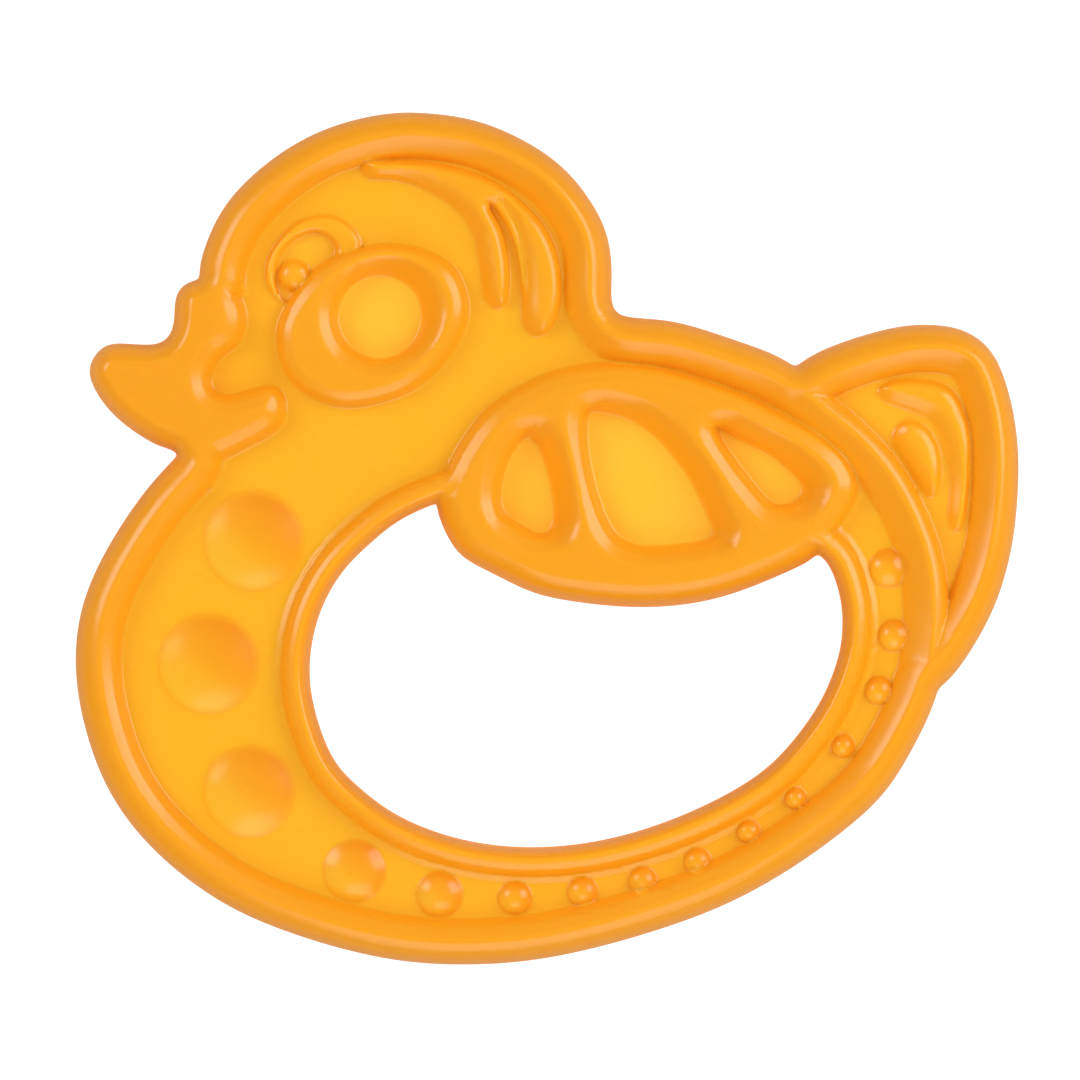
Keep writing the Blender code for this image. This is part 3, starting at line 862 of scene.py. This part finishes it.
@dataclass
class Ring:
    """The whole teething ring: its open edges, its forms in order, and its skin.

    The strips along the open edges reach in by strip_reach. The parting line stands parting_rise
    proud of the edge, and its ridge is twice parting_half high.
    """

    body: Body = field(default_factory=Body)
    tail: Tail = field(default_factory=Tail)
    grip: Grip = field(default_factory=Grip)
    wing: Wing = field(default_factory=Wing)
    bill: Bill = field(default_factory=Bill)
    face: Face = field(default_factory=Face)
    bumps: Bumps = field(default_factory=Bumps)
    edge_step: float = 0.4
    corner_spread: float = 0.35
    strip_reach: float = 0.9
    strip_rows: int = 8
    strip_step: float = 0.42
    parting_rise: float = 0.07
    parting_half: float = 0.13
    web_step: float = 0.85
    ridge_overlap: float = 6.0

    @cached_property
    def edges(self) -> dict[str, np.ndarray]:
        """Work out the two open edges as closed loops, and the ridge's curve in front of the tail.

        Returns:
            The curves by name. The body's path is cut where the tail's and the bill's cross it, and
            the hole's where the wing's crosses it. The pieces are joined end to end and their
            corners softened. The ridge starts and ends a few steps inside the rim.
        """
        body, tail, grip = self.body.path.curve, self.tail.path.curve, self.grip.path.curve
        bill, wing = self.bill.path.curve, self.wing.path.curve
        (front, tail_in), (rear, tail_out) = crossings(body, tail)[[0, -1]]
        (start, bill_end), (stop, bill_start) = crossings(body, np.vstack([bill, bill[:1]]))[[0, -1]]
        grip_hits = crossings(grip, np.vstack([wing, wing[:1]]))
        (grip_in, wing_end), (grip_out, wing_start) = grip_hits[[0, -1]]
        pieces = {
            "outer": [stretch(body, start, front), stretch(tail, tail_in, tail_out),
                      stretch(body, rear, stop), stretch(bill, bill_start, bill_end)],
            "hole": [stretch(grip, grip_in, grip_out), stretch(wing, wing_start, wing_end)],
        }
        loops = {name: respace(soften(np.vstack(parts), Flow.CLOSED, self.corner_spread), Flow.CLOSED,
                               self.edge_step)
                 for name, parts in pieces.items()}
        ridge = stretch(body, front - self.ridge_overlap, rear + self.ridge_overlap)
        return {**loops, "ridge": ridge}

    @cached_property
    def forms(self) -> list[Bead | RaisedForm | Pocket | Dome]:
        """List every form, in the order in which it is cut into the mould.

        Returns:
            The hole's rim, the outer rim and the ridge, then the wing, bill, face, tail and bumps.
        """
        body = self.body
        rim = Bead(self.edges["outer"], Flow.CLOSED, body.rim_top, body.rim_crest, body.rim_width,
                   body.web_height, drift=body.drift)
        ridge = Bead(self.edges["ridge"], Flow.OPEN, body.rim_top, body.ridge_crest, body.ridge_width,
                     body.web_height, body.ridge_blend, body.tail_web_height - body.ridge_sink,
                     body.drift, body.rim_crest, body.ridge_nose, body.ridge_rows)
        return [*self.grip.forms(), rim, ridge, *self.wing.forms(), *self.bill.forms(),
                *self.face.forms(), *self.tail.forms(), *self.bumps.forms()]

    def heights(self, places: np.ndarray) -> np.ndarray:
        """Return the front's height above the parting plane, by shaping the web with every form.

        Args:
            places: Places as rows of (x, y).

        Returns:
            The heights, nowhere higher than the rim.
        """
        edge_depth = np.minimum(depth_beside(places, self.edges["outer"], Flow.CLOSED),
                                depth_beside(places, self.edges["hole"], Flow.CLOSED))
        site = Site(places, edge_depth)
        behind = self.body.path.depth(places) < 0.0
        ground = np.where(behind, self.body.tail_web_height, self.body.web_height)
        for form in self.forms:
            ground = form.shape(site, ground)
        return np.minimum(ground, self.body.rim_top)

    def strip(self, loop: np.ndarray) -> tuple[np.ndarray, np.ndarray]:
        """Carry the rounded edge along a loop, from the parting line to where the forms take over.

        Args:
            loop: The open edge, with the plastic on its right.

        Returns:
            Places (rows, stations, 2) and heights (rows, stations). Row 0 is the parting line, a
            fine ridge. From there on the section is a quarter round of the edge's own radius,
            scaled to meet the forms' height at the strip's inner row.
        """
        stations = respace(loop, Flow.CLOSED, self.strip_step, self.strip_reach)
        side = plastic_side(stations, Flow.CLOSED)
        inner = stations + self.strip_reach * side
        top = self.heights(inner)
        share = np.clip(self.wing.path.depth(inner) / self.strip_reach, 0.0, 1.0)
        near_hole = depth_beside(stations, self.edges["hole"], Flow.CLOSED) < self.strip_reach
        radius = np.where(near_hole, self.grip.crest + share * (self.body.rim_crest - self.grip.crest),
                          self.body.rim_crest)
        widest = np.arccos(1.0 - self.strip_reach / radius)
        angle = np.linspace(0.0, 1.0, self.strip_rows)[:, None] * widest[None]
        inset = radius * (1.0 - np.cos(angle))
        rise = self.parting_half + (top - self.parting_half) * np.sin(angle) / np.sin(widest)
        inset = np.vstack([np.full((1, len(stations)), -self.parting_rise), inset])
        rise = np.vstack([np.zeros((1, len(stations))), rise])
        return stations[None] + inset[..., None] * side[None], rise

    def lattice(self, rings: list[np.ndarray]) -> tuple[np.ndarray, np.ndarray]:
        """Choose the vertices between the strips and join them into triangles.

        Args:
            rings: The inner rows of the strips, which bound the lattice.

        Returns:
            Places, the rings' first, and triangles as rows of three indices. Vertices follow the
            rows of every form, one to a small cell, and an even triangular grid fills the rest.
            They are joined by constrained Delaunay triangulation.
        """
        # Each cell holds one vertex of the rows, and a border of spare cells goes round them all.
        # The margin keeps vertices off the strips, and any nearer than same would be one vertex.
        cell, border, margin, same = 0.15, 2, 0.22, 1e-6
        follow = np.vstack([form.rows() for form in self.forms])
        low, high = rings[0].min(axis=0), rings[0].max(axis=0)
        columns = np.arange(low[0], high[0], self.web_step)
        lines = np.arange(low[1], high[1], self.web_step * math.sqrt(0.75))
        grid_x, grid_y = np.meshgrid(columns, lines)
        grid_x[1::2] += 0.5 * self.web_step
        fill = np.column_stack([grid_x.ravel(), grid_y.ravel()])

        def cells(places: np.ndarray) -> np.ndarray:
            """The cell that each place is in, as (column, line)."""
            return np.floor((places - low) / cell).astype(int) + border

        shape = cells(high[None])[0] + 2 * border
        follow = follow[np.all((follow > low) & (follow < high), axis=1)]
        _, first = np.unique(np.ravel_multi_index(cells(follow).T, shape), return_index=True)
        follow = follow[np.sort(first)]
        taken = np.zeros(shape, dtype=bool)
        column, line = cells(follow).T
        for right in (-1, 0, 1):
            for up in (-1, 0, 1):
                taken[column + right, line + up] = True
        column, line = cells(fill).T
        places = np.vstack([follow, fill[~taken[column, line]]])
        inside = np.minimum(*[depth_beside(places, ring, Flow.CLOSED) for ring in rings]) > margin
        places = np.vstack([*rings, places[inside]])

        seams = list(enumerate(next_round([len(ring) for ring in rings]).tolist()))
        joined = delaunay_2d_cdt([Vector(place) for place in places.tolist()], seams, [], 0, same)
        source = np.array([origin[0] for origin in joined[3]])
        triangles = source[np.array(joined[2])]
        middles = places[triangles].mean(axis=1)
        kept = np.minimum(*[depth_beside(middles, ring, Flow.CLOSED) for ring in rings]) > 0.0
        return places, triangles[kept]

    def skin(self) -> bpy.types.Object:
        """Make the closed skin: strips round both open edges, and the lattice, on both sides.

        Returns:
            The skin. Its vertices are the parting line's, the front's and the back's, and each
            side's are its strip rows and then the lattice's own.
        """
        strips = [self.strip(self.edges[name]) for name in ("outer", "hole")]
        lattice, triangles = self.lattice([places[-1] for places, _ in strips])
        sizes = [places.shape[1] for places, _ in strips]
        total = sum(sizes)
        strip_places = np.concatenate([places for places, _ in strips], axis=1)
        strip_heights = np.concatenate([heights for _, heights in strips], axis=1)
        places = np.vstack([strip_places[1:].reshape(-1, 2), lattice[total:]])
        heights = np.concatenate([strip_heights[1:].ravel(), self.heights(lattice)[total:]])
        parting = np.column_stack([strip_places[0], np.zeros(total)])
        front = np.column_stack([places, heights])
        corners = np.vstack([parting, front, front * (1.0, 1.0, -1.0)])

        station, after = np.arange(total), next_round(sizes)
        faces = []
        for side in Side:
            first = total if side is Side.FRONT else total + len(front)
            rows = np.vstack([station, first + total * np.arange(self.strip_rows)[:, None] + station])
            lower, upper = rows[:-1], rows[1:]
            pairs = [np.stack([lower, lower[:, after], upper[:, after]], axis=-1),
                     np.stack([lower, upper[:, after], upper], axis=-1)]
            edge = np.stack(pairs, axis=1).reshape(-1, 3)
            inner = np.concatenate([rows[-1], np.arange(rows[-1, -1] + 1, first + len(front))])
            plate = inner[triangles]
            faces += [edge[:, ::-1], plate] if side is Side.FRONT else [edge, plate[:, ::-1]]
        # The glow is the share of painted light and painted shade on each bump, stored for the material.
        glow, none = self.bumps.glow(places), np.zeros(total)
        values = {"thickness_mm": 2.0 * np.concatenate([none, heights, heights]),
                  "glow": np.concatenate([none, glow, glow])}
        corners = corners * MM + (0.0, 0.0, PARTING_PLANE)
        return add_mesh("teether_skin", corners, np.vstack(faces), values)


def add_mesh(name: str, corners: np.ndarray, faces: np.ndarray,
             values: dict[str, np.ndarray]) -> bpy.types.Object:
    """Put whole arrays into a new mesh object, and work out how steeply its surface leans.

    Args:
        name: The object's name.
        corners: Vertices in metres.
        faces: Triangles as rows of three vertex indices.
        values: Numbers to store at the vertices, by attribute name.

    Returns:
        The object, in the scene, at the origin. It also stores lean, the level part of the normal
        at each vertex: 0 where the surface is level and 1 where it is upright.
    """
    mesh = bpy.data.meshes.new(name)
    mesh.vertices.add(len(corners))
    mesh.vertices.foreach_set("co", corners.astype(np.float32).ravel())
    mesh.loops.add(faces.size)
    mesh.loops.foreach_set("vertex_index", faces.astype(np.int32).ravel())
    mesh.polygons.add(len(faces))
    mesh.polygons.foreach_set("loop_start", np.arange(0, faces.size, 3, dtype=np.int32))
    mesh.update(calc_edges=True)
    mesh.validate()
    for label, numbers in values.items():
        attribute = mesh.attributes.new(label, "FLOAT", "POINT")
        attribute.data.foreach_set("value", numbers.astype(np.float32))
    normals = np.empty(len(corners) * 3, dtype=np.float32)
    mesh.vertex_normals.foreach_get("vector", normals)
    lean = mesh.attributes.new("lean", "FLOAT", "POINT")
    lean.data.foreach_set("value", np.linalg.norm(normals.reshape(-1, 3)[:, :2], axis=1))
    mesh.shade_smooth()
    item = bpy.data.objects.new(name, mesh)
    bpy.context.scene.collection.objects.link(item)
    return item


def linear(code: str) -> tuple[float, float, float, float]:
    """Turn an sRGB hex colour into the linear one that a shader takes, by the sRGB curve."""
    shares = [int(code[start:start + 2], 16) / 255.0 for start in (0, 2, 4)]
    return (*[s / 12.92 if s <= 0.04045 else ((s + 0.055) / 1.055) ** 2.4 for s in shares], 1.0)


def add_node(tree: bpy.types.NodeTree, kind: str, settings: dict | None = None,
             links: dict | None = None) -> bpy.types.Node:
    """Add a node with its settings and links.

    Args:
        tree: The node tree.
        kind: The node's type name.
        settings: Values by name or number for its sockets, and by name for its properties.
        links: Output sockets to join, by the name or number of the input.

    Returns:
        The node.
    """
    node = tree.nodes.new(kind)
    for name, value in (settings or {}).items():
        if isinstance(name, int) or name in node.inputs:
            node.inputs[name].default_value = value
        else:
            setattr(node, name, value)
    for name, source in (links or {}).items():
        tree.links.new(source, node.inputs[name])
    return node


@dataclass(frozen=True)
class SoftMoulding:
    """Soft translucent EVA, injection moulded in a polished tool."""

    # EVA lets light in, spreads it and gives it back. So thin plastic is a bright yellow and thick
    # plastic is orange. Steep walls are painted a darker orange shade, the bumps carry painted light and
    # shade, and a painted glow keeps the plastic from ever going grey in its shade. The polished tool
    # leaves an even gloss, with soft highlights.
    name: str = "moulded_translucent_eva"
    ior: float = 1.48
    scatter_share: float = 0.5
    scatter_mm: float = 1.5
    scatter_reach: tuple[float, float, float] = (1.0, 0.55, 0.15)

    # Colours by thickness in millimetres, then the painted shade laid on steep walls, and the painted
    # light and painted shade on the bumps: lighter low on the left, where a lens would gather light, and
    # darker towards the upper right. A lean is the sine of the angle from level.
    thin: str = "F0CB3A"
    thin_mm: float = 2.2
    middle: str = "EEB71C"
    middle_mm: float = 4.2
    thick: str = "E9A51A"
    thick_mm: float = 9.5
    full_mm: float = 10.0
    steep: str = "E49D18"
    least_lean: float = 0.2
    most_lean: float = 0.9
    painted_lens_light: str = "F0D03A"
    painted_lens_light_share: float = 0.6
    painted_lens_shade: str = "E28C10"
    painted_lens_shade_share: float = 0.9
    painted_lens_shade_from: float = 0.3
    bump_edge: float = 0.0001

    # Painted light: an emission glow that stands in for the light that has come through the plastic,
    # strongest where it is thin.
    painted_through_glow: str = "FF7C08"
    light_thin_mm: float = 2.0
    light_thick_mm: float = 4.2
    light_at_thin: float = 0.31
    light_at_thick: float = 0.20

    # The gloss varies in clouds a little wider than the rim. The polish marks of a real tool are
    # finer than a pixel, so the ripple is drawn as wide as it needs to show.
    smoothest: float = 0.21
    roughest: float = 0.29
    cloud_mm: float = 7.0
    cloud_low: float = 0.3
    cloud_high: float = 0.7
    ripple_mm: float = 1.6
    ripple_depth_mm: float = 0.012

    def colour(self, tree: bpy.types.NodeTree, thickness: bpy.types.NodeSocket) -> bpy.types.NodeSocket:
        """Colour the plastic by its thickness, and lay over that, by their shares, the painted shade of
        steep walls and the painted light and painted shade on the bumps.

        Args:
            tree: The material's nodes.
            thickness: Millimetres of plastic from front to back.

        Returns:
            The colour.
        """
        lean, glow = [add_node(tree, "ShaderNodeAttribute", {"attribute_name": name}).outputs["Fac"]
                      for name in ("lean", "glow")]
        depth = add_node(tree, "ShaderNodeMath", {"operation": "DIVIDE", 1: self.full_mm}, {0: thickness})
        ramp = add_node(tree, "ShaderNodeValToRGB", links={"Fac": depth.outputs[0]})
        stops = ramp.color_ramp.elements
        stops[0].position, stops[0].color = self.thin_mm / self.full_mm, linear(self.thin)
        stops[1].position, stops[1].color = self.thick_mm / self.full_mm, linear(self.thick)
        stops.new(self.middle_mm / self.full_mm).color = linear(self.middle)

        # Painted shade: steep walls are laid over with a darker orange, by how far they lean.
        wall = add_node(tree, "ShaderNodeMapRange",
                        {"interpolation_type": "SMOOTHSTEP", "From Min": self.least_lean,
                         "From Max": self.most_lean}, {"Value": lean})
        # Painted light low on the left of each bump and painted shade over the rest of it, as if each
        # bump gathered the light as a lens does.
        painted_light_share = add_node(tree, "ShaderNodeMapRange", {"To Max": self.painted_lens_light_share}, {"Value": glow})
        dim = add_node(tree, "ShaderNodeMapRange",
                       {"From Min": self.painted_lens_shade_from, "From Max": -1.0, "To Max": self.painted_lens_shade_share},
                       {"Value": glow})
        size = add_node(tree, "ShaderNodeMath", {"operation": "ABSOLUTE"}, {0: glow})
        on_bump = add_node(tree, "ShaderNodeMath", {"operation": "GREATER_THAN", 1: self.bump_edge},
                           {0: size.outputs[0]})
        painted_shade_on_bump = add_node(tree, "ShaderNodeMath", {"operation": "MULTIPLY"},
                            {0: dim.outputs["Result"], 1: on_bump.outputs[0]})
        colour = ramp.outputs["Color"]
        for over, share in ((self.steep, wall), (self.painted_lens_light, painted_light_share), (self.painted_lens_shade, painted_shade_on_bump)):
            layer = add_node(tree, "ShaderNodeMix", {"data_type": "RGBA", "B": linear(over)},
                             {"Factor": share.outputs[0], "A": colour})
            colour = layer.outputs["Result"]
        return colour

    def polish(self, tree: bpy.types.NodeTree, shader: bpy.types.Node) -> None:
        """Give the polished tool's skin: gloss that varies in soft clouds, and a faint ripple.

        Args:
            tree: The material's nodes.
            shader: The shader that takes the roughness and the normal.
        """
        place = add_node(tree, "ShaderNodeTexCoord").outputs["Object"]
        cloud, ripple = [
            add_node(tree, "ShaderNodeTexNoise", {"Scale": 1.0 / (size * MM), "Detail": detail},
                     {"Vector": place}).outputs["Fac"]
            for size, detail in ((self.cloud_mm, 2.0), (self.ripple_mm, 1.0))]
        gloss = add_node(tree, "ShaderNodeMapRange",
                         {"From Min": self.cloud_low, "From Max": self.cloud_high,
                          "To Min": self.smoothest, "To Max": self.roughest}, {"Value": cloud})
        bump = add_node(tree, "ShaderNodeBump", {"Distance": self.ripple_depth_mm * MM, "Strength": 1.0},
                        {"Height": ripple})
        tree.links.new(gloss.outputs["Result"], shader.inputs["Roughness"])
        tree.links.new(bump.outputs["Normal"], shader.inputs["Normal"])

    def material(self) -> bpy.types.Material:
        """Make the material, coloured by the numbers that are stored at the vertices.

        Returns:
            The material.
        """
        made = bpy.data.materials.new(self.name)
        made.use_nodes = True
        tree = made.node_tree
        shader = tree.nodes["Principled BSDF"]
        shader.inputs["IOR"].default_value = self.ior
        shader.inputs["Subsurface Weight"].default_value = self.scatter_share
        shader.inputs["Subsurface Radius"].default_value = self.scatter_reach
        shader.inputs["Subsurface Scale"].default_value = self.scatter_mm * MM
        # Painted light: the plastic glows with an emission, strongest where it is thin.
        shader.inputs["Emission Color"].default_value = linear(self.painted_through_glow)
        stored = add_node(tree, "ShaderNodeAttribute", {"attribute_name": "thickness_mm"})
        through = add_node(tree, "ShaderNodeMapRange",
                           {"From Min": self.light_thin_mm, "From Max": self.light_thick_mm,
                            "To Min": self.light_at_thin, "To Max": self.light_at_thick},
                           {"Value": stored.outputs["Fac"]})
        tree.links.new(through.outputs["Result"], shader.inputs["Emission Strength"])
        tree.links.new(self.colour(tree, stored.outputs["Fac"]), shader.inputs["Base Color"])
        self.polish(tree, shader)
        return made


@dataclass(frozen=True)
class SoftBox:
    """A square soft box that faces the duck, with lengths in millimetres and its power in watts."""

    name: str
    place: tuple[float, float, float]
    size: float
    power: float

    def hang(self) -> None:
        """Hang the box at its place, turned to the origin."""
        data = bpy.data.lights.new(self.name, "AREA")
        data.energy = self.power
        data.size = self.size * MM
        lamp = bpy.data.objects.new(self.name, data)
        lamp.location = Vector(self.place) * MM
        lamp.rotation_euler = (-lamp.location).to_track_quat("-Z", "Y").to_euler()
        bpy.context.scene.collection.objects.link(lamp)


@dataclass
class Studio:
    """A white floor in a white room, with three soft boxes and the camera straight above.

    Lengths are in millimetres. The frame's centre is the point under the camera, which is a little
    off the duck's middle, as in the photograph.
    """

    frame_width: float = 120.6
    frame_centre: tuple[float, float] = (-0.838, -0.168)
    camera_height: float = 700.0
    sensor: float = 36.0
    clip_start: float = 10.0
    floor_half: float = 3000.0
    floor_colour: str = "B4B4B4"
    floor_roughness: float = 0.9
    floor_glow: float = 0.9
    white: str = "FFFFFF"
    room_light: float = 0.42
    mirrored_room: float = 0.12
    boxes: tuple[SoftBox, ...] = (
        SoftBox("right_box", (440.0, 180.0, 330.0), 380.0, 1.7),
        SoftBox("left_box", (-440.0, 200.0, 330.0), 260.0, 1.0),
        SoftBox("front_fill", (40.0, -430.0, 300.0), 420.0, 0.95),
    )

    def camera(self) -> None:
        """Hang the camera so that the frame's width is seen at the parting plane."""
        data = bpy.data.cameras.new("camera")
        data.sensor_width = self.sensor
        data.lens = self.sensor * self.camera_height / self.frame_width
        data.clip_start = self.clip_start * MM
        eye = bpy.data.objects.new("camera", data)
        eye.location = (self.frame_centre[0] * MM, self.frame_centre[1] * MM,
                        PARTING_PLANE + self.camera_height * MM)
        bpy.context.scene.collection.objects.link(eye)
        bpy.context.scene.camera = eye

    def floor(self) -> None:
        """Lay the floor, which glows white where it is seen and still takes the ring's shadow."""
        half = self.floor_half * MM
        mesh = bpy.data.meshes.new("floor")
        corners = [(-half, -half, 0.0), (half, -half, 0.0), (half, half, 0.0), (-half, half, 0.0)]
        mesh.from_pydata(corners, [], [(0, 1, 2, 3)])
        sheet = bpy.data.objects.new("floor", mesh)
        bpy.context.scene.collection.objects.link(sheet)
        made = bpy.data.materials.new("white_paper")
        made.use_nodes = True
        tree = made.node_tree
        shader = tree.nodes["Principled BSDF"]
        shader.inputs["Base Color"].default_value = linear(self.floor_colour)
        shader.inputs["Roughness"].default_value = self.floor_roughness
        shader.inputs["Emission Color"].default_value = linear(self.white)
        ray = add_node(tree, "ShaderNodeLightPath").outputs
        seen = add_node(tree, "ShaderNodeMath", {"operation": "MAXIMUM"},
                        {0: ray["Is Camera Ray"], 1: ray["Is Transmission Ray"]})
        glow = add_node(tree, "ShaderNodeMath", {"operation": "MULTIPLY", 1: self.floor_glow},
                        {0: seen.outputs[0]})
        tree.links.new(glow.outputs[0], shader.inputs["Emission Strength"])
        mesh.materials.append(made)

    def world(self) -> None:
        """Fill the room with even white light, seen as white and mirrored as a dim ceiling."""
        scene = bpy.context.scene
        scene.world = bpy.data.worlds.new("white_room")
        scene.world.use_nodes = True
        tree = scene.world.node_tree
        ray = add_node(tree, "ShaderNodeLightPath").outputs
        level = add_node(tree, "ShaderNodeMapRange",
                         {"To Min": self.room_light, "To Max": self.mirrored_room},
                         {"Value": ray["Is Glossy Ray"]})
        seen = add_node(tree, "ShaderNodeMath", {"operation": "MAXIMUM"},
                        {0: level.outputs["Result"], 1: ray["Is Camera Ray"]})
        sky = tree.nodes["Background"]
        sky.inputs["Color"].default_value = linear(self.white)
        tree.links.new(seen.outputs[0], sky.inputs["Strength"])

    def build(self) -> None:
        """Set up the whole studio, and show its colours as they are."""
        self.camera()
        self.floor()
        self.world()
        for box in self.boxes:
            box.hang()
        bpy.context.scene.view_settings.view_transform = "Standard"


def main() -> None:
    """Build the studio and the ring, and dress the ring."""
    logging.basicConfig(level=logging.INFO, format="%(message)s")
    Studio().build()
    skin = Ring().skin()
    skin.data.materials.append(SoftMoulding().material())
    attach(skin, "root")
    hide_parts("front_half", "back_half")
    corners, triangles = len(skin.data.vertices), len(skin.data.polygons)
    log.info("%s: %d vertices, %d triangles", skin.name, corners, triangles)


if __name__ == "__main__":
    main()
